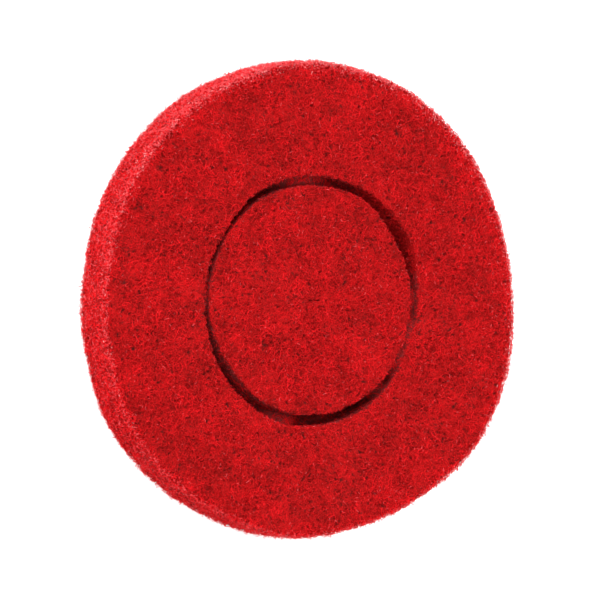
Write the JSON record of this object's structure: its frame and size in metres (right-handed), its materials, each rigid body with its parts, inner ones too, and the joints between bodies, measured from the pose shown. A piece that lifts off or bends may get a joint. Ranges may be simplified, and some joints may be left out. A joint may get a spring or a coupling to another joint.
{
  "type": "floor pad",
  "caption": "Round red non-woven fibre floor pad for a rotary floor machine, with a die-cut knock-out centre disc that lifts out of the ring.",
  "frame": {"origin": "centre of the lower face, on the surface that the pad lies on", "axes": "+Z along the pad's axis, out of the upper face; X and Y lie in the pad's plane and are equivalent"},
  "size_m": [0.165, 0.165, 0.018],
  "materials": {
    "ring_fibre": "red non-woven synthetic fibre web, open and coarse, matt with a slight fibre sheen",
    "plug_fibre": "red non-woven synthetic fibre web, open and coarse, matt with a slight fibre sheen"
  },
  "bodies": {
    "ring": {"pad_ring": "ring_fibre"},
    "plug": {"centre_plug": "plug_fibre"}
  },
  "joints": [
    {"name": "knock_out_release", "type": "slide", "parent": "ring", "child": "plug", "axis": [0, 0, 1], "range_m": [0, 0.036]}
  ]
}
